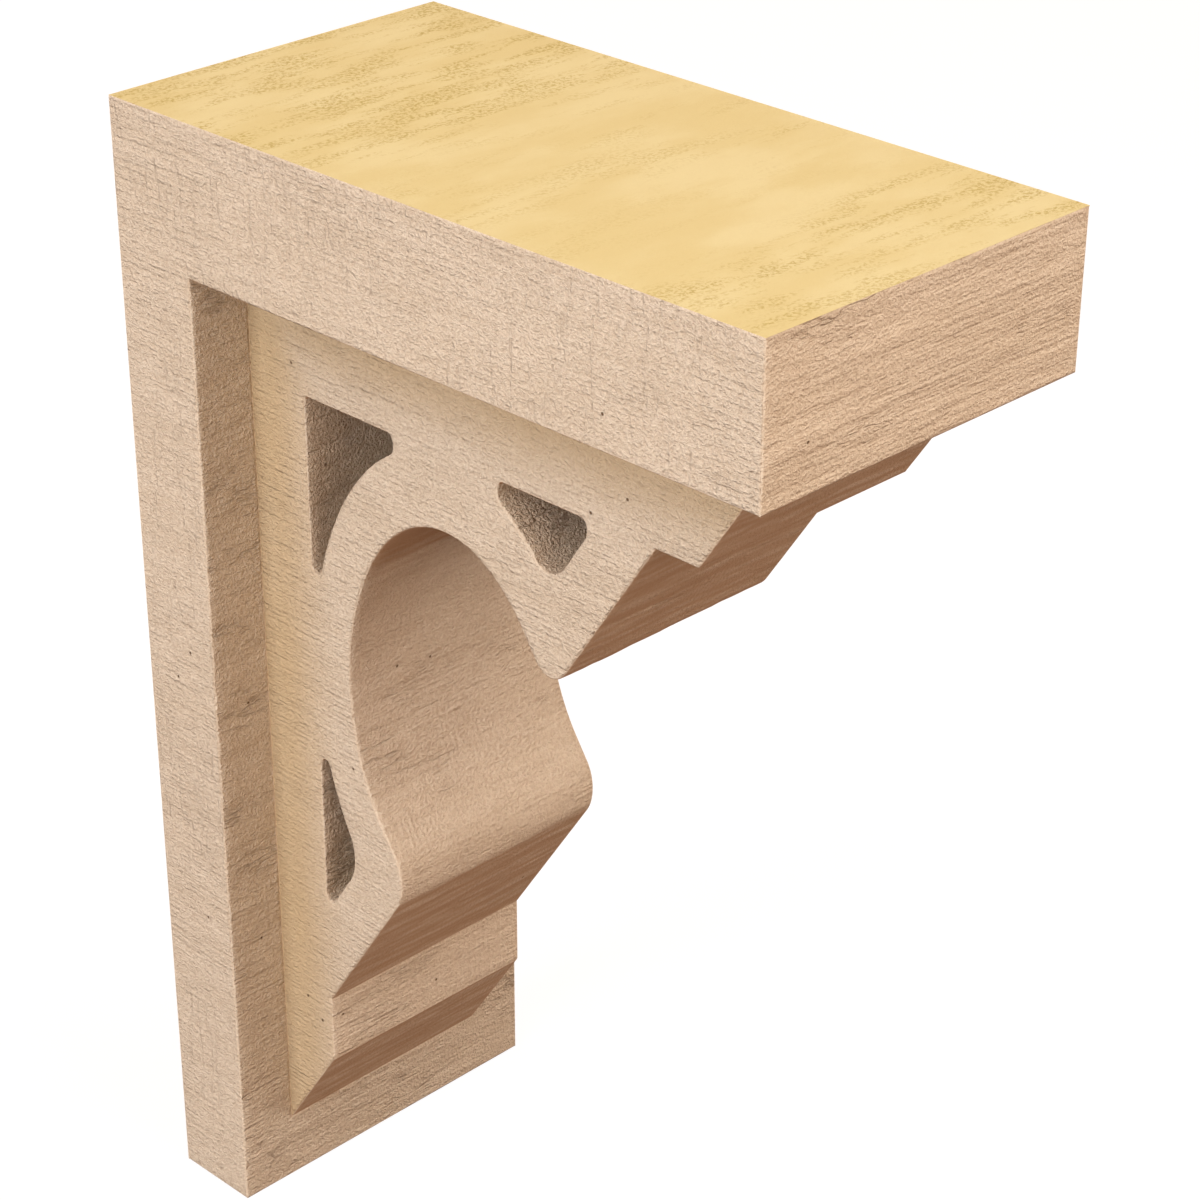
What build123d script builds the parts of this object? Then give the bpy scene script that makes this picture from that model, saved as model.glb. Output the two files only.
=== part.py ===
from build123d import *
from math import atan2, degrees, dist, sqrt
import os

# Corbel for under an eave or a beam, in millimetres. It is one moulded piece: a back plate that goes on
# the wall, a top plate that goes under the eave, and a narrower pierced core in the corner between them.
# +Z is up, X is the width, the front faces -Y, and the origin is the middle of the wall face.

# Overall size
overall_height = 609.6
overall_width = 203.2
projection = 406.4

# Plates
top_plate_thickness = 76.2
back_plate_thickness = 50.8

# Core. Its side view is laid out in a square and then stretched downwards as a whole,
# so each of these sizes is the one measured straight out from the wall.
core_width = 135.47
core_setback = 25.4
border_web = 38.1
nib_length = 25.4
edge_web = 25.4
ear_web = 25.4
tip_round = 14.0
heel_round = 14.0
nose_round = 3.8
corner_round = 2.8

# Moulded round along the outer edges of the plates and of the core. The windows' edges are crisp
arris_round = 0.8

# Places worked out from the sizes
half_height = overall_height / 2
underside = half_height - top_plate_thickness
stretch = (overall_height - top_plate_thickness) / (projection - back_plate_thickness)
core_reach = projection - back_plate_thickness - core_setback
nib_tip = core_reach - border_web
nib_root = nib_tip - nib_length

# The layout square starts in the corner between the plates, and a point in it is (out, down).
# Depth runs along its diagonal, away from that corner. The core's slanting edge lies straight across
# the diagonal, the ear is a round notch centred where the web along that edge starts,
# and its sides run straight from there out through the edge.
edge_depth = (nib_root + border_web) / sqrt(2)
ear_depth = edge_depth - edge_web
ear_out = ear_depth / sqrt(2)
web_radius = ear_out - border_web
ear_radius = web_radius - ear_web
tip_depth = edge_depth - tip_round
tip_offset = ear_radius + tip_round

# The windows are bounded by the webs: the border along the plates, the ring round the ear, and the edge
nose_run = 2 * sqrt(web_radius * nose_round)
nose_down = border_web + nose_round
corner_out = border_web + corner_round
shoulder_out = sqrt(2) * (ear_depth - nose_round) - nose_down
heel_depth = ear_depth - heel_round
heel_offset = sqrt(web_radius * (web_radius + 2 * heel_round))

side_view = Plane(origin=(0, 0, 0), x_dir=(0, -1, 0), z_dir=(-1, 0, 0))
anticlockwise = 1
clockwise = -1


def across(depth, offset):
    """Layout point at a depth along the diagonal and an offset outwards from it."""
    return ((depth + offset) / sqrt(2), (depth - offset) / sqrt(2))


def swapped(point):
    """The matching layout point on the other side of the diagonal."""
    return (point[1], point[0])


def towards(centre, target, radius):
    """Layout point at a radius from a centre, on the way to a target."""
    share = radius / dist(centre, target)
    return (centre[0] + share * (target[0] - centre[0]), centre[1] + share * (target[1] - centre[1]))


def bearing(centre, point):
    """Angle of a layout point about a centre, in degrees from straight out, turning up."""
    return degrees(atan2(centre[1] - point[1], point[0] - centre[0]))


def on_side_view(point):
    """Place of a layout point on the side view."""
    return (back_plate_thickness + point[0], underside - stretch * point[1])


def straight(start, end):
    """Straight stretch between two layout points."""
    Line(on_side_view(start), on_side_view(end))


def rounded(start, end, centre, side):
    """Round stretch between two layout points about a centre. Stretched downwards it is an ellipse's arc."""
    radius = dist(centre, start)
    first = bearing(centre, start)
    sweep = side * (side * (bearing(centre, end) - first) % 360)
    EllipticalCenterArc(on_side_view(centre), radius, radius * stretch, first, arc_size=sweep)


def draw(outline, flipped=False):
    """Closed outline. Each item is a point, and for a round stretch to it also the centre and side."""
    start = outline[-1][0]
    for end, *turn in outline:
        ends = [swapped(start), swapped(end)] if flipped else [start, end]
        if not turn:
            straight(*ends)
        elif flipped:
            rounded(*ends, swapped(turn[0]), -turn[1])
        else:
            rounded(*ends, turn[0], turn[1])
        start = end


ear_centre = (ear_out, ear_out)
tip_centre = across(tip_depth, tip_offset)
low_tip_centre = swapped(tip_centre)

core_outline = [
    ((0, 0),),
    ((core_reach, 0),),
    ((nib_tip, border_web),),
    ((nib_root, border_web),),
    (across(edge_depth, tip_offset),),
    (across(tip_depth, ear_radius), tip_centre, clockwise),
    (across(ear_depth, ear_radius),),
    (across(ear_depth, -ear_radius), ear_centre, anticlockwise),
    (across(tip_depth, -ear_radius),),
    (across(edge_depth, -tip_offset), low_tip_centre, clockwise),
    ((border_web, nib_root),),
    ((border_web, nib_tip),),
    ((0, core_reach),),
]

# Window in the corner between the plates
nose_centre = (ear_out - nose_run, nose_down)
nose_end = towards(nose_centre, ear_centre, nose_round)
corner_window = [
    ((nose_centre[0], border_web),),
    (nose_end, nose_centre, clockwise),
    (swapped(nose_end), ear_centre, anticlockwise),
    ((border_web, nose_centre[0]), swapped(nose_centre), clockwise),
    ((border_web, corner_out),),
    ((corner_out, border_web), (corner_out, corner_out), clockwise),
]

# Window under the front of the top plate. The one low on the back plate is the same, flipped
front_nose_centre = (ear_out + nose_run, nose_down)
front_nose_end = towards(front_nose_centre, ear_centre, nose_round)
shoulder_centre = (shoulder_out, nose_down)
shoulder_offset = (shoulder_out - nose_down) / sqrt(2)
heel_centre = across(heel_depth, heel_offset)
front_window = [
    ((shoulder_out, border_web),),
    (across(ear_depth, shoulder_offset), shoulder_centre, clockwise),
    (across(ear_depth, heel_offset),),
    (towards(heel_centre, ear_centre, heel_round), heel_centre, clockwise),
    (front_nose_end, ear_centre, anticlockwise),
    ((front_nose_centre[0], border_web), front_nose_centre, clockwise),
]

with BuildPart() as corbel:
    # Back plate and top plate
    with BuildSketch(side_view):
        Rectangle(back_plate_thickness, overall_height, align=(Align.MIN, Align.CENTER))
        with Locations((0, half_height)):
            Rectangle(projection, top_plate_thickness, align=(Align.MIN, Align.MAX))
    extrude(amount=overall_width / 2, both=True)

    # Rounds on the plates. The edges round the wall face and round the top face stay sharp
    wall_face = corbel.faces().sort_by(Axis.Y)[-1]
    top_face = corbel.faces().sort_by(Axis.Z)[-1]
    near_underside = (underside - arris_round, underside + arris_round)
    level_edges = corbel.edges().filter_by(Axis.X).filter_by_position(Axis.Z, *near_underside)
    inner_corner = level_edges.sort_by(Axis.Y)[-1]
    sharp_edges = wall_face.edges() + top_face.edges() + [inner_corner]
    fillet(corbel.edges() - sharp_edges, arris_round)

    # Pierced core
    with BuildSketch(side_view):
        with BuildLine():
            draw(core_outline)
        make_face()
        with BuildLine():
            draw(corner_window)
        make_face(mode=Mode.SUBTRACT)
        with BuildLine():
            draw(front_window)
        make_face(mode=Mode.SUBTRACT)
        with BuildLine():
            draw(front_window, flipped=True)
        make_face(mode=Mode.SUBTRACT)
    extrude(amount=core_width / 2, both=True)

    # Rounds on the core's outline, and none where it runs into the plates
    core_sides = corbel.faces().filter_by(Axis.X).sort_by(Axis.X)[1:-1]
    outlines = ShapeList(core_sides[0].outer_wire().edges() + core_sides[1].outer_wire().edges())
    below = outlines.filter_by_position(Axis.Z, -half_height, underside - arris_round)
    fillet(below.filter_by_position(Axis.Y, -projection, -back_plate_thickness - arris_round), arris_round)

corbel.part.label = "corbel"

os.makedirs("parts", exist_ok=True)
export_step(corbel.part, "parts/corbel.step")
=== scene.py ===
import logging
import math
from collections.abc import Iterable, Iterator
from contextlib import contextmanager
from dataclasses import dataclass
from enum import Enum

import bmesh
import bpy
import numpy as np
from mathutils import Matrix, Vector
from mathutils.geometry import delaunay_2d_cdt
from mathutils.kdtree import KDTree


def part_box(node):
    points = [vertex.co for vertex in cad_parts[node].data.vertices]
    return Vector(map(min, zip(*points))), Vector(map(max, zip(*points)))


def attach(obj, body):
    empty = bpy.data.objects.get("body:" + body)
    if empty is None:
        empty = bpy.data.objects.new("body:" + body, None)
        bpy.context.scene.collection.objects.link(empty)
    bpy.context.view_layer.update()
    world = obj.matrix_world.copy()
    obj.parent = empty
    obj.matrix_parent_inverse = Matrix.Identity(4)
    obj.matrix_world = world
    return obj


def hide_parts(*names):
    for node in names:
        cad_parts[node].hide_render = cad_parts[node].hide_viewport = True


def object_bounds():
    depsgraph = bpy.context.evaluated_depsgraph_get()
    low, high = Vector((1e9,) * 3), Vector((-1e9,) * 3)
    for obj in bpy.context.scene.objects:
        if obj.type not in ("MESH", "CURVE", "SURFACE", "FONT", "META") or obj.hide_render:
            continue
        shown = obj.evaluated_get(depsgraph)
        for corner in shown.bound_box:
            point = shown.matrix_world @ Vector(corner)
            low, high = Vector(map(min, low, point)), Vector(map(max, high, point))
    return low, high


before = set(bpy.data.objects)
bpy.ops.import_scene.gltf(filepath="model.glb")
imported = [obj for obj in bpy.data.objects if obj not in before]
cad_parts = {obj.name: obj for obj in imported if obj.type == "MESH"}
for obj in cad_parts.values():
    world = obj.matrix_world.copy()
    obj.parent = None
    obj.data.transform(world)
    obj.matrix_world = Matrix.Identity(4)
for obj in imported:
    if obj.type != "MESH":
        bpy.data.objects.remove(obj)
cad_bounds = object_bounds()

logging.basicConfig(level=logging.INFO, format="%(message)s")
log = logging.getLogger("corbel")

Socket = bpy.types.NodeSocket
Tree = bpy.types.NodeTree

MM = 0.001
BATCH = 2000
# Tiling: smallest triangle in square millimetres, merging distance, and the turn at which a
# corner no longer counts as straight.
SLIVER = 1e-3
MERGE = 1e-7
STRAIGHT = 0.3
# Share of the margin that an inner point keeps from other sides.
CLEARANCE = 0.9
# Places this near count as one, in millimetres.
SAME_PLACE = 1e-3
# Shifts that keep each face's patterns apart from the next one's, and each noise's from the others.
PATCH_STEP = np.array([977.0, 613.0])
PATCH_SPAN = np.array([4001.0, 3001.0])
SEED_STEP = (17.3, 9.1, 3.7)
# Faces closer in direction than the cosine count as one, and edges under the angle are shaded round.
SAME_FACE = 0.9
ROUND_SHADED = math.radians(55)
NODE = "corbel"
GRAIN_MAP = "grain"
ARRIS = "arris_distance"
CONVEX = "convex_distance"
FOAM = "raw_foam"
NOOK = "nook_distance"
SAWN = "saw_lines"
TORN = "torn_grain"
WAVES = "waves"
# Share of painted shade in recesses, given for each cut.
RECESS_SHADE = "painted_recess_shade"


class Surface(Enum):
    """Material slots of the dressed corbel, in order."""

    SKIN = 0
    FOAM = 1


class Cut(Enum):
    """How a face was cut: strengths of even saw lines, torn grain and waves, and of the painted shade in
    recesses.
    """

    PLATE_SIDE = (0.0, 2.1, 0.3, 0.0)
    PLATE_EDGE = (0.0, 1.3, 1.8, 0.0)
    SHELTERED = (0.0, 2.5, 1.6, 0.0)
    CORE_SIDE = (1.0, 2.2, 0.25, 0.0)
    CORE_EDGE = (0.5, 1.7, 1.3, 0.0)
    WINDOW = (0.0, 2.3, 1.8, 0.08)
    BARE = (0.0, 1.0, 0.4, 0.0)


@dataclass(frozen=True)
class Sizes:
    """Sizes of the corbel in millimetres. The overall ones come from the frame."""

    width: float
    projection: float
    height: float
    top_plate: float = 76.2
    back_plate: float = 50.8
    core_width: float = 135.47
    core_setback: float = 25.4
    border_web: float = 38.1
    nib_length: float = 25.4
    edge_web: float = 25.4
    ear_web: float = 25.4
    tip_round: float = 14.0
    heel_round: float = 14.0
    nose_round: float = 3.8
    corner_round: float = 2.8

    @classmethod
    def from_frame(cls) -> "Sizes":
        """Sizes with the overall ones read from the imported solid's box."""
        low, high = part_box(NODE)
        spans = [(top - bottom) / MM for bottom, top in zip(low, high)]
        return cls(*spans)


@dataclass(frozen=True)
class Tiling:
    """Distances between mesh rows, in millimetres."""

    along: float = 5.0
    across: float = 1.5
    margin: float = 0.8
    foam_across: float = 5.0
    lattice_gap: float = 1.9
    curve_step: float = 0.1


def spread(length: float, pitch: float, margin: float) -> np.ndarray:
    """Distances along a run, about a pitch apart, with one more a margin in from each end."""
    count = max(1, round((length - 2 * margin) / pitch))
    inner = np.linspace(margin, length - margin, count + 1)
    return np.concatenate(([0.0], inner, [length]))


def along_curve(curve: np.ndarray, distances: np.ndarray) -> np.ndarray:
    """Points at distances along a dense polyline."""
    steps = np.hypot(*np.diff(curve, axis=0).T)
    run = np.concatenate(([0.0], np.cumsum(steps)))
    share = distances / distances[-1] * run[-1]
    return np.stack([np.interp(share, run, curve[:, axis]) for axis in (0, 1)], axis=1)


def curve_length(curve: np.ndarray) -> float:
    """Length of a dense polyline."""
    return float(np.hypot(*np.diff(curve, axis=0).T).sum())


def nearest(points: Iterable, others: list) -> list[float]:
    """Distance of each point from the nearest of the others."""
    tree = KDTree(len(others))
    for index, other in enumerate(others):
        tree.insert(other, index)
    tree.balance()
    return [tree.find(point)[2] for point in points]


@contextmanager
def editing(mesh: bpy.types.Mesh) -> Iterator[bmesh.types.BMesh]:
    """Opens a mesh for editing and writes it back at the end."""
    work = bmesh.new()
    work.from_mesh(mesh)
    yield work
    work.to_mesh(mesh)
    work.free()


def add_object(name: str, data: bpy.types.ID) -> bpy.types.Object:
    """New object in the scene."""
    made = bpy.data.objects.new(name, data)
    bpy.context.scene.collection.objects.link(made)
    return made


@dataclass(frozen=True)
class Run:
    """A stretch of the side view with no sharp corner in it.

    Its points are rows of (out, up) in millimetres, and its distances are theirs from the first.
    """

    points: np.ndarray
    distances: np.ndarray


class SideView:
    """Outlines of the corbel's side view, as rows of (out from the wall, up) in millimetres.

    The core is laid out in a square of (out, down) that starts in the corner between the plates,
    and the square is stretched downwards as a whole.
    """

    def __init__(self, sizes: Sizes, tiling: Tiling) -> None:
        """Works out the places that the outlines share."""
        self.sizes = sizes
        self.tiling = tiling
        self.top = sizes.height / 2
        self.underside = self.top - sizes.top_plate
        self.stretch = (sizes.height - sizes.top_plate) / (sizes.projection - sizes.back_plate)
        self.reach = sizes.projection - sizes.back_plate - sizes.core_setback
        self.nib_tip = self.reach - sizes.border_web
        self.nib_root = self.nib_tip - sizes.nib_length
        self.edge_depth = (self.nib_root + sizes.border_web) / math.sqrt(2)
        self.ear_depth = self.edge_depth - sizes.edge_web
        self.ear_out = self.ear_depth / math.sqrt(2)
        self.web_radius = self.ear_out - sizes.border_web
        self.ear_radius = self.web_radius - sizes.ear_web

    def place(self, point: tuple[float, float]) -> tuple[float, float]:
        """Side view place of a layout point."""
        return (self.sizes.back_plate + point[0], self.underside - self.stretch * point[1])

    def across(self, depth: float, offset: float) -> tuple[float, float]:
        """Layout point at a depth along the square's diagonal and an offset outwards from it."""
        return ((depth + offset) / math.sqrt(2), (depth - offset) / math.sqrt(2))

    def arc(self, start: tuple, end: tuple, centre: tuple, side: int) -> list[tuple[float, float]]:
        """Dense layout points of a round stretch about a centre, without its start.

        The side is 1 anticlockwise and -1 clockwise, seen with the front to the right.
        """
        radius = math.dist(centre, start)
        first = math.atan2(centre[1] - start[1], start[0] - centre[0])
        last = math.atan2(centre[1] - end[1], end[0] - centre[0])
        sweep = side * (side * (last - first) % math.tau)
        count = max(8, round(abs(sweep) * radius / self.tiling.curve_step))
        angles = first + sweep * np.arange(1, count + 1) / count
        turned = [(centre[0] + radius * math.cos(a), centre[1] - radius * math.sin(a)) for a in angles]
        return turned[:-1] + [end]

    def trace(self, start: tuple, *stretches: tuple, flipped: bool = False) -> np.ndarray:
        """Dense side view points along joined stretches, mirrored about the diagonal if flipped.

        Each stretch is an end point, and for a round one also its centre and side.
        """
        points = [start]
        for end, *turn in stretches:
            points += self.arc(points[-1], end, *turn) if turn else [end]
        if flipped:
            points = [(down, out) for out, down in points]
        return np.array([self.place(point) for point in points])

    def sharp_run(self, curve: np.ndarray, pitch: float = 0.0) -> Run:
        """Run between two sharp corners, with a row next to each."""
        distances = spread(curve_length(curve), pitch or self.tiling.across, self.tiling.margin)
        return Run(along_curve(curve, distances), distances)

    def ring(self, curve: np.ndarray) -> Run:
        """Closed run with no corner, whose last row is its first."""
        length = curve_length(curve)
        distances = np.linspace(0, length, round(length / self.tiling.across) + 1)
        points = along_curve(curve, distances)
        points[-1] = points[0]
        return Run(points, distances)

    def plates(self) -> dict[str, Run]:
        """Runs round the two plates, from the top of the wall face round by the front."""
        wall, front = 0.0, self.sizes.projection
        face, low = self.sizes.back_plate, -self.top
        corners = {
            "top": (wall, self.top),
            "front": (front, self.top),
            "underside": (front, self.underside),
            "back_front": (face, self.underside),
            "bottom": (face, low),
            "wall": (wall, low),
        }
        starts = list(corners.values())
        ends = starts[1:] + starts[:1]
        runs = {}
        for name, start, end in zip(corners, starts, ends):
            pitch = self.tiling.foam_across if name in ("top", "wall") else 0.0
            runs[name] = self.sharp_run(np.array([start, end]), pitch)
        return runs

    def core(self) -> list[Run]:
        """Runs round the core, from the corner between the plates out under the top plate."""
        s = self.sizes
        tip_depth = self.edge_depth - s.tip_round
        tip_offset = self.ear_radius + s.tip_round
        ear = (self.ear_out, self.ear_out)
        tip = self.across(tip_depth, tip_offset)
        before = [(0, 0), (self.reach, 0), (self.nib_tip, s.border_web), (self.nib_root, s.border_web)]
        after = [corner[::-1] for corner in before[::-1]]
        slant = self.trace(
            before[-1],
            (self.across(self.edge_depth, tip_offset),),
            (self.across(tip_depth, self.ear_radius), tip, -1),
            (self.across(self.ear_depth, self.ear_radius),),
            (self.across(self.ear_depth, -self.ear_radius), ear, 1),
            (self.across(tip_depth, -self.ear_radius),),
            (self.across(self.edge_depth, -tip_offset), tip[::-1], -1),
            (after[0],),
        )
        upper, lower = (
            [self.trace(start, (end,)) for start, end in zip(corners, corners[1:])]
            for corners in (before, after)
        )
        return [self.sharp_run(curve) for curve in (*upper, slant, *lower)]

    def windows(self) -> list[Run]:
        """Closed runs round the three windows in the core."""
        s = self.sizes
        ear = (self.ear_out, self.ear_out)
        nose_run = 2 * math.sqrt(self.web_radius * s.nose_round)
        nose_down = s.border_web + s.nose_round
        corner = s.border_web + s.corner_round
        nose = (self.ear_out - nose_run, nose_down)
        nose_end = self.towards(nose, ear, s.nose_round)
        corner_window = self.trace(
            (corner, s.border_web),
            ((nose[0], s.border_web),),
            (nose_end, nose, -1),
            (nose_end[::-1], ear, 1),
            ((s.border_web, nose[0]), nose[::-1], -1),
            ((s.border_web, corner),),
            ((corner, s.border_web), (corner, corner), -1),
        )
        front_nose = (self.ear_out + nose_run, nose_down)
        shoulder = (math.sqrt(2) * (self.ear_depth - s.nose_round) - nose_down, nose_down)
        heel_offset = math.sqrt(self.web_radius * (self.web_radius + 2 * s.heel_round))
        heel = self.across(self.ear_depth - s.heel_round, heel_offset)
        front_window = (
            (front_nose[0], s.border_web),
            ((shoulder[0], s.border_web),),
            (self.across(self.ear_depth, (shoulder[0] - nose_down) / math.sqrt(2)), shoulder, -1),
            (self.across(self.ear_depth, heel_offset),),
            (self.towards(heel, ear, s.heel_round), heel, -1),
            (self.towards(front_nose, ear, s.nose_round), ear, 1),
            ((front_nose[0], s.border_web), front_nose, -1),
        )
        curves = [corner_window, self.trace(*front_window), self.trace(*front_window, flipped=True)]
        return [self.ring(curve) for curve in curves]

    def towards(self, centre: tuple, target: tuple, radius: float) -> tuple[float, float]:
        """Layout point at a radius from a centre, on the way to a target."""
        share = radius / math.dist(centre, target)
        return tuple(a + share * (b - a) for a, b in zip(centre, target))


def inside(points: np.ndarray, loops: list[np.ndarray]) -> np.ndarray:
    """Whether each point lies inside the loops, by the even-odd rule."""
    starts = np.concatenate(loops)
    ends = np.concatenate([np.roll(loop, -1, axis=0) for loop in loops])
    (x0, y0), (x1, y1) = starts.T, ends.T
    slope = (x1 - x0) / np.where(y1 == y0, 1.0, y1 - y0)
    batches = np.array_split(points, len(points) // BATCH + 1)
    counts = []
    for batch in batches:
        x, y = batch[:, :1], batch[:, 1:]
        crossed = ((y0 > y) != (y1 > y)) & (x < slope * (y - y0) + x0)
        counts.append(crossed.sum(axis=1))
    return np.concatenate(counts) % 2 == 1


def gap_to(points: np.ndarray, loops: list[np.ndarray]) -> np.ndarray:
    """Distance of each point from the nearest vertex of the loops."""
    flat, corners = ([(x, y, 0.0) for x, y in group] for group in (points, np.concatenate(loops)))
    return np.array(nearest(flat, corners))


def inset(loop: np.ndarray, loops: list[np.ndarray], margin: float) -> np.ndarray:
    """Points a margin inside one of a region's loops, without those too near another side."""
    before, after = np.roll(loop, 1, axis=0), np.roll(loop, -1, axis=0)
    tangent = after - before
    tangent /= np.maximum(np.hypot(*tangent.T), 1e-9)[:, None]
    normal = np.stack([-tangent[:, 1], tangent[:, 0]], axis=1)
    first, second = loop - before, after - loop
    turn = first[:, 0] * second[:, 1] - first[:, 1] * second[:, 0]
    straight = np.abs(turn) < STRAIGHT * np.hypot(*first.T) * np.hypot(*second.T)
    sides = [loop[straight] + sign * margin * normal[straight] for sign in (1, -1)]
    found = np.concatenate([side[inside(side, loops)] for side in sides])
    return found[gap_to(found, loops) > CLEARANCE * margin]


def tile(loops: list[np.ndarray], tiling: Tiling) -> tuple[np.ndarray, np.ndarray]:
    """Triangles over a flat region, long along the first axis, with its loops kept as they are."""
    corners = np.concatenate(loops)
    low, high = corners.min(axis=0), corners.max(axis=0)
    rows = np.arange(low[1], high[1], tiling.across)
    shifts = np.where(np.arange(len(rows)) % 2 == 0, 0.25, 0.75) * tiling.along
    columns = np.arange(low[0], high[0], tiling.along)
    lattice = np.stack(
        [(columns[None, :] + shifts[:, None]).ravel(), np.repeat(rows, len(columns))], axis=1
    )
    lattice = lattice[inside(lattice, loops)]
    lattice = lattice[gap_to(lattice, loops) > tiling.lattice_gap]
    rims = [inset(loop, loops, tiling.margin) for loop in loops]
    points = np.concatenate([corners, *rims, lattice])
    squeeze = np.array([tiling.across / tiling.along, 1.0])
    edges, first = [], 0
    for loop in loops:
        count = len(loop)
        edges += [(first + i, first + (i + 1) % count) for i in range(count)]
        first += count
    flat = [Vector(point) for point in points * squeeze]
    found = delaunay_2d_cdt(flat, edges, [], 0, MERGE)
    verts = np.array([tuple(point) for point in found[0]]) / squeeze
    for index, sources in enumerate(found[3]):
        if sources:
            verts[index] = points[sources[0]]
    faces = np.array([face for face in found[2] if len(face) == 3])
    first, second = (verts[faces[:, i]] - verts[faces[:, 0]] for i in (1, 2))
    areas = np.abs(first[:, 0] * second[:, 1] - first[:, 1] * second[:, 0]) / 2
    faces = faces[areas > SLIVER]
    return verts, faces[inside(verts[faces].mean(axis=1), loops)]


class Shell:
    """Collects the corbel's faces, in millimetres, and joins them into one closed mesh."""

    def __init__(self) -> None:
        """Starts with no faces."""
        self.points: list[np.ndarray] = []
        self.grain: list[np.ndarray] = []
        self.faces: list[np.ndarray] = []
        self.surfaces: list[int] = []
        self.cuts: list[Cut] = []
        self.count = 0
        self.patch = 0

    def add(
        self, points: np.ndarray, grain: np.ndarray, faces: np.ndarray, surface: Surface, cut: Cut
    ) -> None:
        """Adds one face of the corbel, with rows of (along the grain, across it) for its points."""
        self.points.append(points)
        self.grain.append(grain + self.patch * PATCH_STEP % PATCH_SPAN)
        self.faces += (faces + self.count).tolist()
        self.surfaces += [surface.value] * len(faces)
        self.cuts += [cut] * len(faces)
        self.count += len(points)
        self.patch += 1

    def add_strip(
        self, run: Run, columns: np.ndarray, cut: Cut, surface: Surface = Surface.SKIN
    ) -> None:
        """Adds the strip that a run of the side view makes across the corbel."""
        rows, across = len(run.points), len(columns)
        x = np.tile(columns, rows)
        out, up = np.repeat(run.points, across, axis=0).T
        points = np.stack([x, -out, up], axis=1)
        grain = np.stack([x, np.repeat(run.distances, across)], axis=1)
        corner = np.arange((rows - 1) * across).reshape(rows - 1, across)[:, :-1].ravel()
        faces = np.stack([corner, corner + 1, corner + across + 1, corner + across], axis=1)
        self.add(points, grain, faces, surface, cut)

    def add_side(self, loops: list[np.ndarray], half_width: float, tiling: Tiling, cut: Cut) -> None:
        """Adds both side faces within loops of the side view."""
        flat, faces = tile(loops, tiling)
        for x in (-half_width, half_width):
            points = np.stack([np.full(len(flat), x), -flat[:, 0], flat[:, 1]], axis=1)
            self.add(points, flat, faces, Surface.SKIN, cut)

    def add_collar(
        self, run: Run, spine: Run, columns: np.ndarray, core: np.ndarray, tiling: Tiling
    ) -> None:
        """Adds the part of a plate's face that lies round the foot of the core.

        The run goes from the plate's free end to the corner between the plates, the spine is the
        core's run from that corner outwards, and the rest are places across plate and core.
        """
        length = run.distances[-1]
        outer, inner = columns[-1], core[-1]
        shelf = spread(outer - inner, tiling.along, tiling.margin)
        right = [(outer, d) for d in run.distances]
        right += [(outer - d, length) for d in shelf[1:-1]] + [(inner, length)]
        right += [(inner, length - d) for d in spine.distances[1:]]
        foot = [(x, length - spine.distances[-1]) for x in core[::-1][1:]]
        left = [(-x, d) for x, d in right[::-1][1:]]
        free = [(x, 0.0) for x in columns[1:-1]]
        loop = np.array(right + foot + left + free)
        flat, faces = tile([loop], tiling)
        start, end = run.points[0], run.points[-1]
        place = start + (end - start) * (flat[:, 1:] / length)
        points = np.stack([flat[:, 0], -place[:, 0], place[:, 1]], axis=1)
        self.add(points, flat, faces, Surface.SKIN, Cut.SHELTERED)

    def mesh(self, name: str) -> bpy.types.Mesh:
        """One mesh of all the faces, in metres, with shared vertices and the grain map."""
        points = np.concatenate(self.points).round(4)
        grain = np.concatenate(self.grain) * MM
        shared, numbers = np.unique(points, axis=0, return_inverse=True)
        numbers = numbers.ravel()
        mesh = bpy.data.meshes.new(name)
        faces = [[int(numbers[i]) for i in face] for face in self.faces]
        mesh.from_pydata((shared * MM).tolist(), [], faces)
        corners = np.concatenate([np.asarray(face) for face in self.faces])
        layer = mesh.uv_layers.new(name=GRAIN_MAP)
        layer.data.foreach_set("uv", grain[corners].ravel())
        mesh.polygons.foreach_set("material_index", self.surfaces)
        foam = [surface == Surface.FOAM.value for surface in self.surfaces]
        mesh.attributes.new(FOAM, "BOOLEAN", "FACE").data.foreach_set("value", foam)
        for part, name in enumerate((SAWN, TORN, WAVES, RECESS_SHADE)):
            strengths = [cut.value[part] for cut in self.cuts]
            mesh.attributes.new(name, "FLOAT", "FACE").data.foreach_set("value", strengths)
        self.turn_outwards(mesh)
        return mesh

    def turn_outwards(self, mesh: bpy.types.Mesh) -> None:
        """Points every face outwards and reports open or doubled edges."""
        with editing(mesh) as work:
            bmesh.ops.recalc_face_normals(work, faces=work.faces)
            loose = sum(len(edge.link_faces) != 2 for edge in work.edges)
        count = len(mesh.polygons)
        log.info("mesh %s: %d faces, %d edges not shared by two faces", mesh.name, count, loose)


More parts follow.
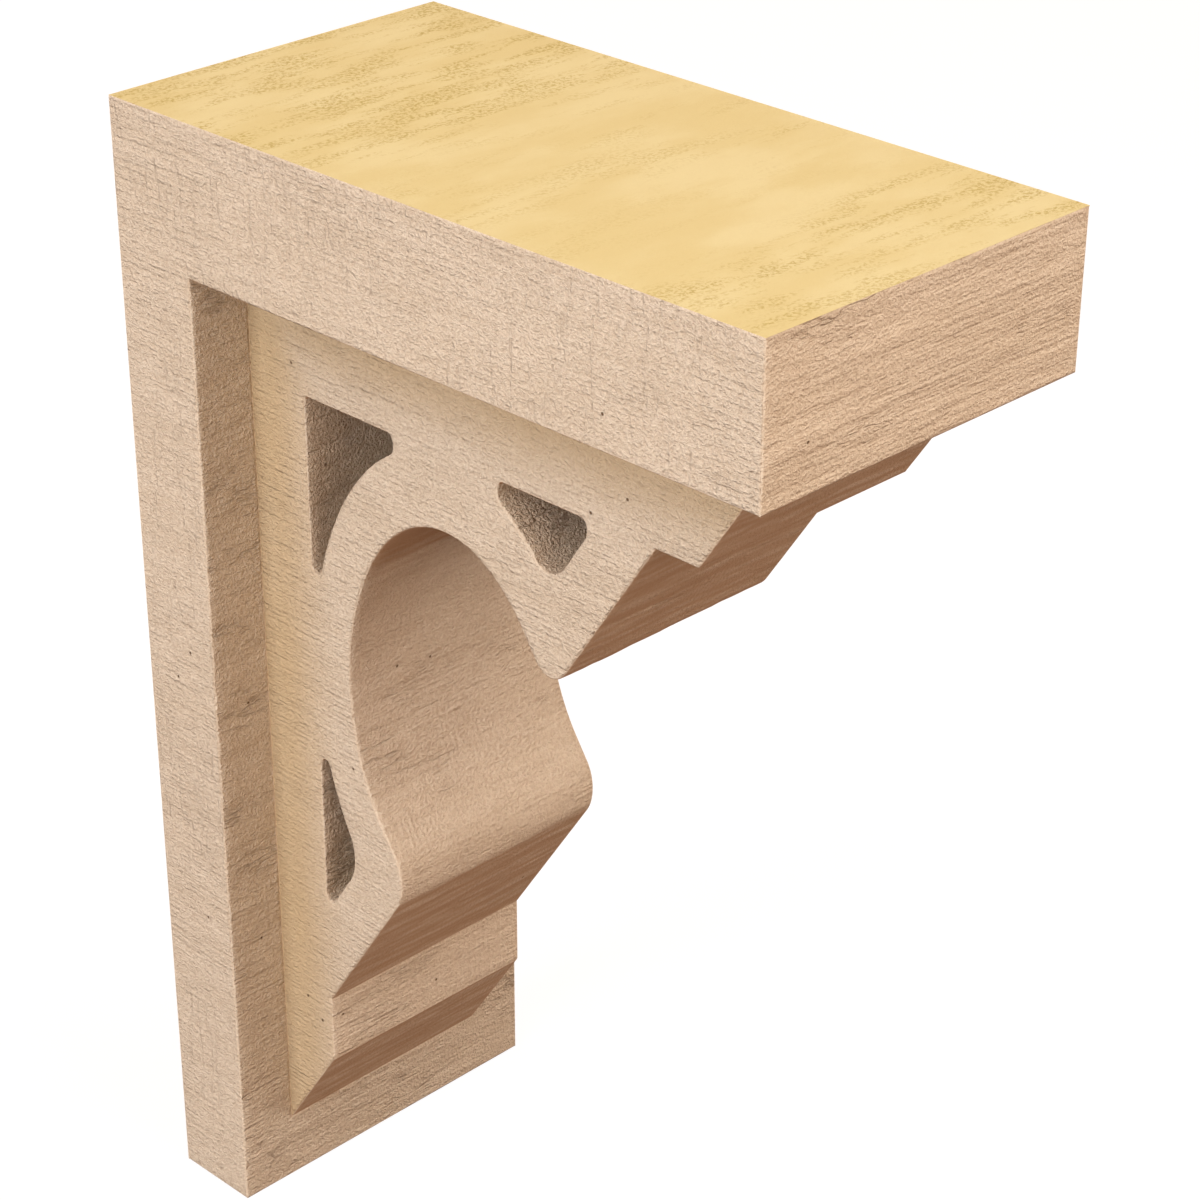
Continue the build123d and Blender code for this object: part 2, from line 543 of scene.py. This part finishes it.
@dataclass(frozen=True)
class ArrisEase:
    """How the edges of the moulding are eased.

    The pull inwards and the reach of the distances stored are in millimetres, and sharp is the
    smallest turn between two faces that makes an edge.
    """

    pull: float = 0.24
    reach: float = 60.0
    sharp: float = math.radians(28)

    def apply(self, mesh: bpy.types.Mesh) -> None:
        """Draws the outward edges in, and stores each vertex's distance from the edges."""
        with editing(mesh) as work:
            edges = [edge for edge in work.edges if edge.calc_face_angle(0.0) > self.sharp]
            convex = [edge for edge in edges if edge.is_convex]
            concave = [edge for edge in edges if not edge.is_convex and self.along_side(edge)]
            groups = {ARRIS: edges, CONVEX: convex, NOOK: concave}
            distances = {name: self.distances(work, group) for name, group in groups.items()}
            ends = {vertex for edge in convex for vertex in edge.verts}
            moves = {vertex: self.inward(vertex) for vertex in ends if self.all_skin(vertex)}
            for vertex, move in moves.items():
                vertex.co += move
        for name, values in distances.items():
            mesh.attributes.new(name, "FLOAT", "POINT").data.foreach_set("value", values)

    def all_skin(self, vertex: bmesh.types.BMVert) -> bool:
        """Whether every face round a vertex has the skin."""
        return all(face.material_index == Surface.SKIN.value for face in vertex.link_faces)

    def along_side(self, edge: bmesh.types.BMEdge) -> bool:
        """Whether an edge runs in the side view, not across the corbel."""
        return abs(edge.verts[0].co.x - edge.verts[1].co.x) < SAME_PLACE * MM

    def inward(self, vertex: bmesh.types.BMVert) -> Vector:
        """Move that draws a vertex in from each flat face round it by the same amount."""
        normals = []
        for face in vertex.link_faces:
            if all(face.normal.dot(other) < SAME_FACE for other in normals):
                normals.append(face.normal.copy())
        total = sum(normals, Vector())
        return -total * (self.pull * MM)

    def distances(self, work: bmesh.types.BMesh, edges: list[bmesh.types.BMEdge]) -> list[float]:
        """Distance of every vertex from the nearest of some edges' ends."""
        ends = [vertex.co for vertex in {vertex for edge in edges for vertex in edge.verts}]
        gaps = nearest((vertex.co for vertex in work.verts), ends)
        return [min(self.reach * MM, gap) for gap in gaps]


def feed(tree: Tree, socket: Socket, value: object) -> None:
    """Links an input to an output, or gives it a value."""
    if isinstance(value, Socket):
        tree.links.new(value, socket)
    else:
        socket.default_value = value


def add_node(tree: Tree, kind: str, inputs: dict | None = None, **settings: object) -> bpy.types.Node:
    """Adds a node with its settings, and feeds its inputs, by name or number."""
    node = tree.nodes.new(kind)
    for name, value in settings.items():
        setattr(node, name, value)
    for key, value in (inputs or {}).items():
        feed(tree, node.inputs[key], value)
    return node


def empty_tree(owner: bpy.types.Material | bpy.types.World) -> Tree:
    """Node tree of a material or a world, with no nodes in it."""
    owner.use_nodes = True
    owner.node_tree.nodes.clear()
    return owner.node_tree


class Patterns:
    """Patterns over the grain map, shared by the shaders and by the relief.

    Lengths are in millimetres along the grain and across it.
    """

    def __init__(self, tree: Tree, grain: Socket) -> None:
        """Turns a tree's grain map from metres into millimetres."""
        self.tree = tree
        scale = {0: grain, 1: (1 / MM, 1 / MM, 1.0)}
        node = add_node(tree, "ShaderNodeVectorMath", scale, operation="MULTIPLY")
        self.grain = node.outputs[0]

    def math(self, operation: str, *values: object) -> Socket:
        """Output of a math node over values or outputs."""
        node = add_node(self.tree, "ShaderNodeMath", dict(enumerate(values)), operation=operation)
        return node.outputs[0]

    def product(self, *factors: object) -> Socket:
        """Product of values or outputs."""
        total = factors[0]
        for factor in factors[1:]:
            total = self.math("MULTIPLY", total, factor)
        return total

    def rest(self, share: Socket) -> Socket:
        """What a share leaves of 1."""
        return self.math("SUBTRACT", 1.0, share)

    def cell(self, length: float, width: float, slant: float = 0.0) -> Socket:
        """Grain map in which one cell is so long and so wide, turned by a slant in degrees."""
        vector = self.grain
        if slant:
            turn = {"Vector": vector, "Angle": math.radians(slant)}
            vector = add_node(self.tree, "ShaderNodeVectorRotate", turn, rotation_type="Z_AXIS").outputs[0]
        size = {0: vector, 1: (1 / length, 1 / width, 1.0)}
        return add_node(self.tree, "ShaderNodeVectorMath", size, operation="MULTIPLY").outputs[0]

    def noise(
        self,
        length: float,
        width: float,
        seed: float,
        detail: float = 2.0,
        rough: float = 0.5,
        slant: float = 0.0,
    ) -> Socket:
        """Noise from 0 to 1 whose lumps are so long and so wide, turned by a slant in degrees.

        Detail is the number of its finer layers and rough their strength. Seeds set noises apart.
        """
        place = {0: self.cell(length, width, slant), 1: [seed * step for step in SEED_STEP]}
        vector = add_node(self.tree, "ShaderNodeVectorMath", place, operation="ADD").outputs[0]
        inputs = {"Vector": vector, "Scale": 1.0, "Detail": detail, "Roughness": rough}
        return add_node(self.tree, "ShaderNodeTexNoise", inputs).outputs[0]

    def step(self, value: Socket, low: float, high: float) -> Socket:
        """Smooth step of a value from 0 at low to 1 at high."""
        inputs = {"Value": value, "From Min": low, "From Max": high}
        node = add_node(self.tree, "ShaderNodeMapRange", inputs, interpolation_type="SMOOTHSTEP")
        return node.outputs[0]

    def lines(self, pitch: float, across: bool, wander: float, seed: float) -> Socket:
        """Wavy lines from -1 to 1, along the grain or across it, that stray by some pitches."""
        split = add_node(self.tree, "ShaderNodeSeparateXYZ", {0: self.grain})
        place = self.math("MULTIPLY", split.outputs[0 if across else 1], math.tau / pitch)
        length, width = (pitch * 4, pitch * 9) if across else (pitch * 14, pitch * 4)
        drift = self.noise(length, width, seed, detail=1.0)
        return self.math("SINE", self.math("MULTIPLY_ADD", drift, math.tau * wander, place))

    def weigh(self, *terms: tuple) -> Socket:
        """Sum of outputs, each with its weight."""
        total = 0.0
        for value, weight in terms:
            total = self.math("MULTIPLY_ADD", value, weight, total)
        return total


@dataclass(frozen=True)
class Relief:
    """Sawn waves and torn bands of the skin, built as geometry.

    Attributes:
        depth: largest height of the relief from the flat, in millimetres.
        keep: width of the plain rim that is kept along every edge, in millimetres.
        seed: number that sets the pattern.
    """

    depth: float = 0.7
    keep: float = 5.0
    seed: int = 7

    def tree(self) -> Tree:
        """Node group that moves each point along its normal."""
        tree = bpy.data.node_groups.new("rough sawn relief", "GeometryNodeTree")
        floats = dict.fromkeys(("Depth", "Keep", "Seed"), "Float")
        sockets = {"Geometry": "Geometry", **floats, "Skin": "Material", "Foam": "Material"}
        for name, kind in sockets.items():
            tree.interface.new_socket(name, in_out="INPUT", socket_type=f"NodeSocket{kind}")
        tree.interface.new_socket("Geometry", in_out="OUTPUT", socket_type="NodeSocketGeometry")
        given = tree.nodes.new("NodeGroupInput").outputs
        kinds = {GRAIN_MAP: "FLOAT_VECTOR", ARRIS: "FLOAT", WAVES: "FLOAT", FOAM: "BOOLEAN"}
        grain, edge, share, foam = (
            add_node(tree, "GeometryNodeInputNamedAttribute", {"Name": name}, data_type=kind).outputs[0]
            for name, kind in kinds.items()
        )
        place = {0: grain, 1: given["Seed"]}
        seeded = add_node(tree, "ShaderNodeVectorMath", place, operation="ADD")
        patterns = Patterns(tree, seeded.outputs[0])
        wave = patterns.weigh(
            (patterns.noise(70, 13, 1), 1.5),
            (patterns.noise(20, 4.5, 2), 1.1),
            (patterns.noise(9, 30, 3), 0.6),
        )
        height = patterns.math("SUBTRACT", wave, 1.6)
        ramp = {"Value": edge, "From Max": given["Keep"]}
        rim = add_node(tree, "ShaderNodeMapRange", ramp, interpolation_type="SMOOTHSTEP")
        height = patterns.product(height, rim.outputs[0], share, given["Depth"])
        normal = add_node(tree, "GeometryNodeInputNormal")
        push = {0: normal.outputs[0], "Scale": height}
        move = add_node(tree, "ShaderNodeVectorMath", push, operation="SCALE")
        shifted = {"Geometry": given["Geometry"], "Offset": move.outputs[0]}
        moved = add_node(tree, "GeometryNodeSetPosition", shifted)
        whole = add_node(tree, "GeometryNodeRealizeInstances", {"Geometry": moved.outputs[0]})
        painted = {"Geometry": whole.outputs[0], "Material": given["Skin"]}
        skin = add_node(tree, "GeometryNodeSetMaterial", painted)
        ends = {"Geometry": skin.outputs[0], "Selection": foam, "Material": given["Foam"]}
        done = add_node(tree, "GeometryNodeSetMaterial", ends)
        add_node(tree, "NodeGroupOutput", {"Geometry": done.outputs[0]})
        return tree

    def bake(self, piece: bpy.types.Object, skin: bpy.types.Material, foam: bpy.types.Material) -> None:
        """Runs the relief on a piece, coats it and keeps the result as its mesh."""
        group = self.tree()
        modifier = piece.modifiers.new("relief", "NODES")
        modifier.node_group = group
        values = {
            "Depth": self.depth * MM,
            "Keep": self.keep * MM,
            "Seed": float(self.seed),
            "Skin": skin,
            "Foam": foam,
        }
        for item in group.interface.items_tree:
            if item.in_out == "INPUT" and item.name in values:
                modifier[item.identifier] = values[item.name]
        view = bpy.context.evaluated_depsgraph_get()
        plain = piece.data
        piece.data = bpy.data.meshes.new_from_object(piece.evaluated_get(view), depsgraph=view)
        piece.data.name = plain.name
        piece.modifiers.remove(modifier)
        bpy.data.meshes.remove(plain)
        bpy.data.node_groups.remove(group)


def linear(code: str) -> tuple[float, float, float, float]:
    """Linear colour of an sRGB hex code."""
    parts = [int(code[i : i + 2], 16) / 255 for i in (1, 3, 5)]
    spread_out = [p / 12.92 if p <= 0.04045 else ((p + 0.055) / 1.055) ** 2.4 for p in parts]
    return (*spread_out, 1.0)


@dataclass(frozen=True)
class Finish:
    """Base of the corbel's two finishes. Shine is the strength of the mirror reflection."""

    name: str
    roughness: float
    shine: float
    # The index of refraction that is usual for paint and plastics.
    ior: float = 1.5

    def start(self) -> tuple[bpy.types.Material, Tree, Patterns]:
        """New material with no nodes, its tree and the grain patterns."""
        material = bpy.data.materials.new(self.name)
        tree = empty_tree(material)
        grain = add_node(tree, "ShaderNodeUVMap", uv_map=GRAIN_MAP)
        return material, tree, Patterns(tree, grain.outputs[0])

    def close(self, tree: Tree, colour: object, height: object, roughness: object) -> None:
        """Adds the bump, from a height in millimetres, the surface shader and the output."""
        bump = add_node(tree, "ShaderNodeBump", {"Height": height, "Distance": MM, "Strength": 1.0})
        inputs = {
            "Base Color": colour,
            "Roughness": roughness,
            "IOR": self.ior,
            "Specular IOR Level": self.shine,
            "Normal": bump.outputs[0],
        }
        shader = add_node(tree, "ShaderNodeBsdfPrincipled", inputs)
        add_node(tree, "ShaderNodeOutputMaterial", {"Surface": shader.outputs[0]})


def mixed(tree: Tree, share: object, first: object, second: object) -> Socket:
    """Mix of two colours or outputs, by a share of the second."""
    node = add_node(tree, "ShaderNodeMix", data_type="RGBA")
    for key, value in (("Factor_Float", share), ("A_Color", first), ("B_Color", second)):
        feed(tree, next(item for item in node.inputs if item.identifier == key), value)
    return next(item for item in node.outputs if item.identifier == "Result_Color")


@dataclass(frozen=True)
class PrimedSkin(Finish):
    """Tan primer over the skin of a rough-sawn moulding.

    Attributes:
        light: paint where it lies thick.
        dark: paint where it lies thin.
        hollow_shade: painted shade in the hollows of the grit and in the cracks.
        pit_shade: painted shade inside the sparse pits.
        nook_shade: painted shade, darker and yellower, on the core sides next to the plates.
        shade: painted shade on the undersides and in the windows.
        edge_highlight: painted highlight along the outward edges.
    """

    # Matt primer sprayed on polyurethane that was cast in a mould of rough-sawn wood. It looks
    # chalky, with no clear highlight, and shows its torn grain wherever light grazes it.
    name: str = "primed rough-sawn polyurethane moulding"
    roughness: float = 0.86
    shine: float = 0.25
    light: str = "#decfb8"
    dark: str = "#d8c8b0"
    hollow_shade: str = "#b69c7e"
    pit_shade: str = "#7d6348"
    nook_shade: str = "#c6ad87"
    shade: str = "#a8825f"
    edge_highlight: str = "#e6d8c4"

    def build(self) -> bpy.types.Material:
        """The material, read from the grain map and the edge distances."""
        material, tree, p = self.start()
        names = (SAWN, TORN, WAVES, RECESS_SHADE, CONVEX, ARRIS)
        sawn, torn, waves, recess_share, convex, arris = (self.attribute(tree, name) for name in names)
        # Dried primer has a grit of about 0.4 mm, too fine to show: it is drawn 1.6 mm coarse.
        grit = p.noise(1.6, 1.5, 11, detail=1.5, rough=0.85)
        plaster = p.step(grit, 0.36, 0.60)
        # Splinters torn out by the saw, about 10 mm long and 3.4 mm wide.
        coarse = p.noise(10.0, 3.4, 12, detail=2, rough=0.55)
        # Wood fibres are about 0.5 mm wide, too fine to show: their streaks are drawn 2.5 mm wide.
        streaks = p.noise(44, 2.5, 13, detail=2.5, rough=0.55)
        zone = p.step(p.noise(150, 110, 14, detail=1), 0.38, 0.56)
        streaky = p.math("MULTIPLY_ADD", zone, 0.6, 0.4)
        # Torn cracks of about 34 mm, in patches as long as a hand is wide.
        torn_patch = p.step(p.noise(46, 24, 25, detail=2), 0.54, 0.66)
        tears = p.math("MULTIPLY_ADD", waves, 0.5, 0.35)
        cracks = p.product(self.seam(p, 34, 7.5, 24), torn_patch, tears)
        # Marks across the grain, up to 90 mm long, where the saw stopped on the plates' sides.
        stops = p.step(p.noise(60, 90, 28, detail=1), 0.42, 0.54)
        flat = p.rest(p.math("MINIMUM", waves, 1.0))
        seams = p.product(self.seam(p, 15, 90, 26), stops, flat, p.rest(sawn))
        # Saw teeth leave a line every 2.9 mm on the core's sides.
        lines = p.product(p.lines(2.9, False, 1.1, 16), sawn)
        # The saw chatters every 3.6 mm across the core's edge.
        chatter_zone = p.step(p.noise(40, 50, 17, detail=1), 0.48, 0.6)
        chatter = p.product(p.lines(3.6, True, 0.9, 18), chatter_zone, p.math("PINGPONG", sawn, 0.5))
        pits = self.pits(p)
        under = self.underside(p)
        height = p.weigh(
            (grit, p.math("MULTIPLY_ADD", sawn, -0.05, 1.2)),
            (coarse, 0.6),
            (p.product(streaks, streaky), 1.15),
            (cracks, -0.42),
            (seams, -0.45),
            (lines, 0.045),
            (chatter, 0.2),
            (pits, -0.9),
        )
        rim = p.math("MULTIPLY_ADD", p.step(arris, 0.0, 1.4 * MM), 0.65, 0.35)
        calm = p.math("MULTIPLY_ADD", under, -0.6, 1.0)
        height = p.product(p.math("SUBTRACT", height, 1.1), torn, rim, calm)
        tone = p.step(p.weigh((p.noise(60, 14, 21), 0.6), (streaks, 0.4)), 0.36, 0.64)
        # Painted highlight: a thin lighter line along the outward edges.
        edge_highlight = p.math("MULTIPLY_ADD", p.step(convex, 0.2 * MM, 1.0 * MM), -0.04, 0.04)
        layers = (
            # Painted shade in the hollows of the grit, and below it in the cracks.
            (p.math("MULTIPLY_ADD", plaster, -0.34, 0.34), self.hollow_shade),
            (p.product(cracks, 0.2), self.hollow_shade),
            # Painted shade in the corners where the core's sides meet the plates.
            (self.nook_shade_share(p, sawn), self.nook_shade),
            # Painted shade on the faces that look down and in the windows.
            (p.math("MULTIPLY_ADD", under, 0.78, recess_share), self.shade),
            # Painted shade inside the pits.
            (pits, self.pit_shade),
            (edge_highlight, self.edge_highlight),
        )
        colour = mixed(tree, tone, linear(self.dark), linear(self.light))
        for share, coat in layers:
            colour = mixed(tree, share, colour, linear(coat))
        roughness = p.math("MULTIPLY_ADD", plaster, 0.12, self.roughness - 0.06)
        self.close(tree, colour, height, roughness)
        return material

    def attribute(self, tree: Tree, name: str) -> Socket:
        """Output that gives one of the mesh's own values."""
        node = add_node(tree, "ShaderNodeAttribute", attribute_name=name, attribute_type="GEOMETRY")
        return node.outputs["Fac"]

    def seam(self, p: Patterns, length: float, width: float, seed: float) -> Socket:
        """Thin jagged lines, so long and so wide in millimetres: 1 in the line and 0 outside."""
        level = p.math("SUBTRACT", p.noise(length, width, seed, detail=3.5, rough=0.62), 0.5)
        return p.rest(p.step(p.math("ABSOLUTE", level), 0.0, 0.05))

    def nook_shade_share(self, p: Patterns, sawn: Socket) -> Socket:
        """Share of the painted shade, darker and yellower, that the core's sides get next to the plates.
        """
        near = p.rest(p.step(self.attribute(p.tree, NOOK), 12 * MM, 58 * MM))
        uneven = p.math("MULTIPLY_ADD", p.noise(30, 60, 22, detail=2), 0.3, 0.8)
        return p.product(near, uneven, p.step(sawn, 0.6, 0.9))

    def underside(self, p: Patterns) -> Socket:
        """Value of 1 on faces that look down, and 0 elsewhere: they came smoother from the mould, and they
        get painted shade.
        """
        normal = add_node(p.tree, "ShaderNodeTexCoord").outputs["Normal"]
        up = add_node(p.tree, "ShaderNodeSeparateXYZ", {0: normal}).outputs[2]
        return p.step(p.product(up, -1.0), 0.35, 0.62)

    def pits(self, p: Patterns) -> Socket:
        """Sparse small pits, 1 inside and 0 outside."""
        inputs = {"Vector": p.cell(11.0, 11.0), "Scale": 1.0}
        cells = add_node(p.tree, "ShaderNodeTexVoronoi", inputs, voronoi_dimensions="2D")
        split = add_node(p.tree, "ShaderNodeSeparateColor", {0: cells.outputs["Color"]})
        chosen = p.step(split.outputs[0], 0.988, 0.99)
        return p.product(chosen, p.rest(p.step(cells.outputs["Distance"], 0.035, 0.085)))


@dataclass(frozen=True)
class RawFoam(Finish):
    """Bare foam where the moulding wasn't painted.

    Attributes:
        pale: foam that is clean.
        deep: foam a little darker, in clouds.
        speck: opened cells.
    """

    # Rigid polyurethane foam as it left the mould: yellow and dry, dull all over, with darker
    # flecks where cells were torn open.
    name: str = "raw rigid polyurethane foam"
    roughness: float = 0.9
    shine: float = 0.2
    pale: str = "#e3daa7"
    deep: str = "#ddd199"
    speck: str = "#b39d48"

    def build(self) -> bpy.types.Material:
        """The material, read from the grain map."""
        material, tree, p = self.start()
        cloud = p.step(p.noise(60, 30, 31, detail=3), 0.34, 0.68)
        # Torn cells gather in bands about 42 mm long and 9 mm wide.
        bands = p.step(p.noise(42, 9, 32, detail=3, rough=0.6), 0.44, 0.62)
        clear = self.clear_middle(p)
        zones = p.step(p.math("MULTIPLY_ADD", p.noise(170, 45, 35, detail=2), 0.7, clear), 0.24, 0.62)
        # A foam cell is about 0.3 mm, too fine to show: cells are drawn about 2 mm coarse.
        grains = p.step(p.noise(2.1, 1.5, 33, detail=3, rough=0.7, slant=-24), 0.46, 0.60)
        specks = p.product(grains, bands, zones)
        # The closed skin between them is as fine, and is drawn 1.5 mm coarse.
        fuzz = p.noise(1.5, 1.3, 34, detail=2, rough=0.6)
        colour = mixed(tree, cloud, linear(self.deep), linear(self.pale))
        colour = mixed(tree, p.product(specks, 0.7), colour, linear(self.speck))
        height = p.weigh((fuzz, 0.4), (specks, -0.12))
        roughness = p.math("MULTIPLY_ADD", fuzz, 0.1, self.roughness - 0.05)
        self.close(tree, colour, height, roughness)
        return material

    def clear_middle(self, p: Patterns) -> Socket:
        """Value from 0 halfway out, where the top is clean, to 0.3 at the wall and the front."""
        place = add_node(p.tree, "ShaderNodeTexCoord").outputs["Object"]
        out = p.product(add_node(p.tree, "ShaderNodeSeparateXYZ", {0: place}).outputs[1], -1.0)
        return p.weigh((p.rest(p.step(out, 0.11, 0.20)), 0.3), (p.step(out, 0.30, 0.37), 0.22))


class DressedCorbel:
    """The one moulded piece, in place of its solid."""

    def __init__(self, sizes: Sizes, tiling: Tiling) -> None:
        """Keeps the sizes and lays out the side view."""
        self.sizes = sizes
        self.tiling = tiling
        self.view = SideView(sizes, tiling)

    def columns(self, width: float) -> np.ndarray:
        """Places of the mesh columns across a width."""
        return spread(width, self.tiling.along, self.tiling.margin) - width / 2

    def shell(self) -> Shell:
        """All faces of the moulding."""
        shell = Shell()
        plates, core, windows = self.view.plates(), self.view.core(), self.view.windows()
        wide, narrow = self.columns(self.sizes.width), self.columns(self.sizes.core_width)
        outline = np.concatenate([run.points[:-1] for run in plates.values()])
        shell.add_side([outline], wide[-1], self.tiling, Cut.PLATE_SIDE)
        loops = [np.concatenate([run.points[:-1] for run in core])]
        loops += [ring.points[:-1] for ring in windows]
        shell.add_side(loops, narrow[-1], self.tiling, Cut.CORE_SIDE)
        shell.add_collar(plates["underside"], core[0], wide, narrow, self.tiling)
        shell.add_collar(self.back_to_front(plates["back_front"]), core[-1], wide, narrow, self.tiling)
        for name in ("top", "wall"):
            shell.add_strip(plates[name], wide, Cut.BARE, Surface.FOAM)
        for name in ("front", "bottom"):
            shell.add_strip(plates[name], wide, Cut.PLATE_EDGE)
        for run in core[1:-1]:
            shell.add_strip(run, narrow, Cut.CORE_EDGE)
        for ring in windows:
            shell.add_strip(ring, narrow, Cut.WINDOW)
        return shell

    def back_to_front(self, run: Run) -> Run:
        """The same run from its other end."""
        return Run(run.points[::-1], run.distances[-1] - run.distances[::-1])

    def build(self) -> None:
        """Adds the finished piece, on the root body and in place of the solid."""
        mesh = self.shell().mesh("corbel_moulding")
        ArrisEase().apply(mesh)
        piece = add_object("corbel_moulding", mesh)
        Relief().bake(piece, PrimedSkin().build(), RawFoam().build())
        piece.data.shade_smooth()
        self.sharpen(piece.data)
        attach(piece, "root")
        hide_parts(NODE)
        triangles = sum(len(polygon.vertices) - 2 for polygon in piece.data.polygons)
        coats = list(piece.data.materials.keys())
        log.info("piece %s: %d triangles, materials %s", piece.name, triangles, coats)

    def sharpen(self, mesh: bpy.types.Mesh) -> None:
        """Marks the edges that turn too far to be shaded as round."""
        with editing(mesh) as work:
            for edge in work.edges:
                edge.smooth = edge.calc_face_angle(0.0) < ROUND_SHADED


@dataclass(frozen=True)
class Lamp:
    """A square soft light, with its place and size in metres and its power in watts."""

    name: str
    place: tuple[float, float, float]
    size: float
    power: float
    colour: str = "#ffffff"

    def build(self, aim: Vector) -> None:
        """Adds the light, turned to a point."""
        data = bpy.data.lights.new(self.name, "AREA")
        data.shape = "SQUARE"
        data.size = self.size
        data.energy = self.power
        data.color = linear(self.colour)[:3]
        lamp = add_object(self.name, data)
        lamp.location = self.place
        lamp.rotation_euler = (aim - lamp.location).to_track_quat("-Z", "Y").to_euler()


@dataclass(frozen=True)
class Studio:
    """Plain pale floor, soft light and the photograph's viewpoint.

    Attributes:
        place: camera's place in metres, from the middle of the wall face.
        azimuth: camera's turn from straight in front, in degrees.
        elevation: camera's height over the object, in degrees.
        lens: focal length in millimetres.
        shift: shift of the picture, as shares of its width.
        sky: colour of the light from all round.
        sky_power: strength of that light.
        bounce: colour that the floor sends up.
        floor_glow: share of the floor's white that doesn't depend on the lamps.
        floor_side: side of the floor, in metres.
    """

    place: tuple[float, float, float] = (-0.957420, -1.160014, 0.781528)
    azimuth: float = -45.0
    elevation: float = 30.0
    lens: float = 96.171
    shift: tuple[float, float] = (0.019460, 0.122711)
    sky: str = "#ffa660"
    sky_power: float = 0.35
    bounce: str = "#70543f"
    floor_glow: float = 0.8
    floor_side: float = 30.0
    lamps: tuple[Lamp, ...] = (
        Lamp("side light", (-3.4, -0.3, 0.55), 2.4, 125.0, "#eff5fc"),
        Lamp("high side light", (-2.4, -0.8, 2.8), 2.2, 46.0),
        Lamp("right light", (2.6, -2.4, 1.6), 2.2, 50.0),
        Lamp("high front light", (0.6, -2.6, 3.4), 2.2, 75.0, "#fcf6ec"),
        Lamp("low front light", (-1.0, -3.5, -0.1), 2.2, 42.0, "#ffe9d2"),
        Lamp("back light", (0.4, 3.4, 0.2), 2.2, 60.0),
    )

    def build(self) -> None:
        """Adds the camera, the lamps, the surroundings and the floor."""
        self.add_camera()
        for lamp in self.lamps:
            lamp.build(Vector((0.0, -0.2, 0.0)))
        self.add_sky()
        self.add_floor()
        bpy.context.scene.view_settings.view_transform = "Standard"

    def add_camera(self) -> None:
        """Adds the camera and makes it the scene's."""
        data = bpy.data.cameras.new("photograph view")
        data.lens = self.lens
        data.sensor_width = 36.0
        data.shift_x, data.shift_y = self.shift
        data.clip_end = 100.0
        camera = add_object("photograph view", data)
        camera.location = self.place
        camera.rotation_euler = (math.radians(90 - self.elevation), 0.0, math.radians(self.azimuth))
        bpy.context.scene.camera = camera

    def add_sky(self) -> None:
        """Adds even light from all round, which the camera sees as white."""
        world = bpy.data.worlds.new("studio")
        bpy.context.scene.world = world
        tree = empty_tree(world)
        tint = {"Color": linear(self.sky), "Strength": self.sky_power}
        soft = add_node(tree, "ShaderNodeBackground", tint)
        white = add_node(tree, "ShaderNodeBackground", {"Color": (1, 1, 1, 1), "Strength": 1.0})
        self.show(tree, soft, white, "ShaderNodeOutputWorld")

    def show(self, tree: Tree, lit: bpy.types.Node, seen: bpy.types.Node, output: str) -> None:
        """Ends a tree with a shader that lights the object, and another that is seen.

        The second is for rays from the camera, from a reflection or through glass.
        """
        rays = add_node(tree, "ShaderNodeLightPath").outputs
        share = rays["Is Camera Ray"]
        for name in ("Is Glossy Ray", "Is Transmission Ray"):
            inputs = {0: share, 1: rays[name]}
            share = add_node(tree, "ShaderNodeMath", inputs, operation="MAXIMUM").outputs[0]
        inputs = {0: share, 1: lit.outputs[0], 2: seen.outputs[0]}
        both = add_node(tree, "ShaderNodeMixShader", inputs)
        add_node(tree, output, {"Surface": both.outputs[0]})

    def add_floor(self) -> None:
        """Adds the floor, white to the camera and warm and dim in what it sends up."""
        half, low = self.floor_side / 2, cad_bounds[0][2]
        mesh = bpy.data.meshes.new("floor")
        corners = [(-half, -half, low), (half, -half, low), (half, half, low), (-half, half, low)]
        mesh.from_pydata(corners, [], [(0, 1, 2, 3)])
        floor = add_object("floor", mesh)
        material = bpy.data.materials.new("pale floor")
        tree = empty_tree(material)
        lit = add_node(tree, "ShaderNodeBsdfDiffuse", {"Color": (0.95, 0.95, 0.95, 1)})
        glow = add_node(tree, "ShaderNodeEmission", {"Color": (1, 1, 1, 1), "Strength": 1.1})
        inputs = {0: self.floor_glow, 1: lit.outputs[0], 2: glow.outputs[0]}
        white = add_node(tree, "ShaderNodeMixShader", inputs)
        warm = add_node(tree, "ShaderNodeBsdfDiffuse", {"Color": linear(self.bounce)})
        self.show(tree, warm, white, "ShaderNodeOutputMaterial")
        mesh.materials.append(material)


def main() -> None:
    """Dresses the corbel and lights it."""
    DressedCorbel(Sizes.from_frame(), Tiling()).build()
    Studio().build()


if __name__ == "__main__":
    main()
